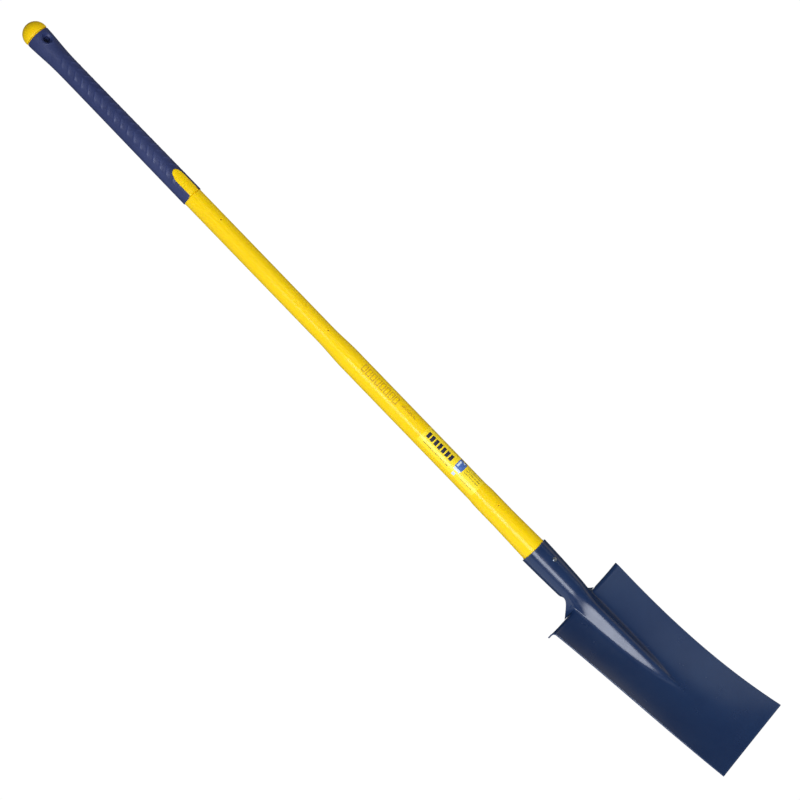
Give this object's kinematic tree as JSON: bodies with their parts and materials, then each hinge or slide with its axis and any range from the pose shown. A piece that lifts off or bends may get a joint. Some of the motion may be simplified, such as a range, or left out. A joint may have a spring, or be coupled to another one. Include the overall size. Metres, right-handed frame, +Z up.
{
  "type": "trenching spade",
  "caption": "Narrow square-ended trenching spade with backward treads and a ribbed neck, on a long straight sleeved handle with a soft grip and a hang hole.",
  "frame": {"origin": "centre of the hang hole, on the shaft's axis", "axes": "+Z up along the shaft with the blade down, -Y towards the front (the blade's hollow side), X across the blade"},
  "size_m": [0.1546, 0.0906, 1.3665],
  "materials": {
    "head_paint": "gloss enamel",
    "rivet_steel": "satin",
    "sleeve_plastic": "gloss",
    "core_glass_fibre": "matte",
    "plug_plastic": "matte",
    "grip_rubber": "matte, moulded chevrons",
    "cap_plastic": "satin",
    "label_print": "satin film"
  },
  "bodies": {
    "root": {"spade_head": "head_paint", "socket_rivet": "rivet_steel", "shaft_sleeve": "sleeve_plastic", "core_tube": "core_glass_fibre", "core_tip_plug": "plug_plastic", "core_top_plug": "plug_plastic", "hand_grip": "grip_rubber", "end_cap": "cap_plastic", "label_film": "label_print"}
  },
  "joints": []
}
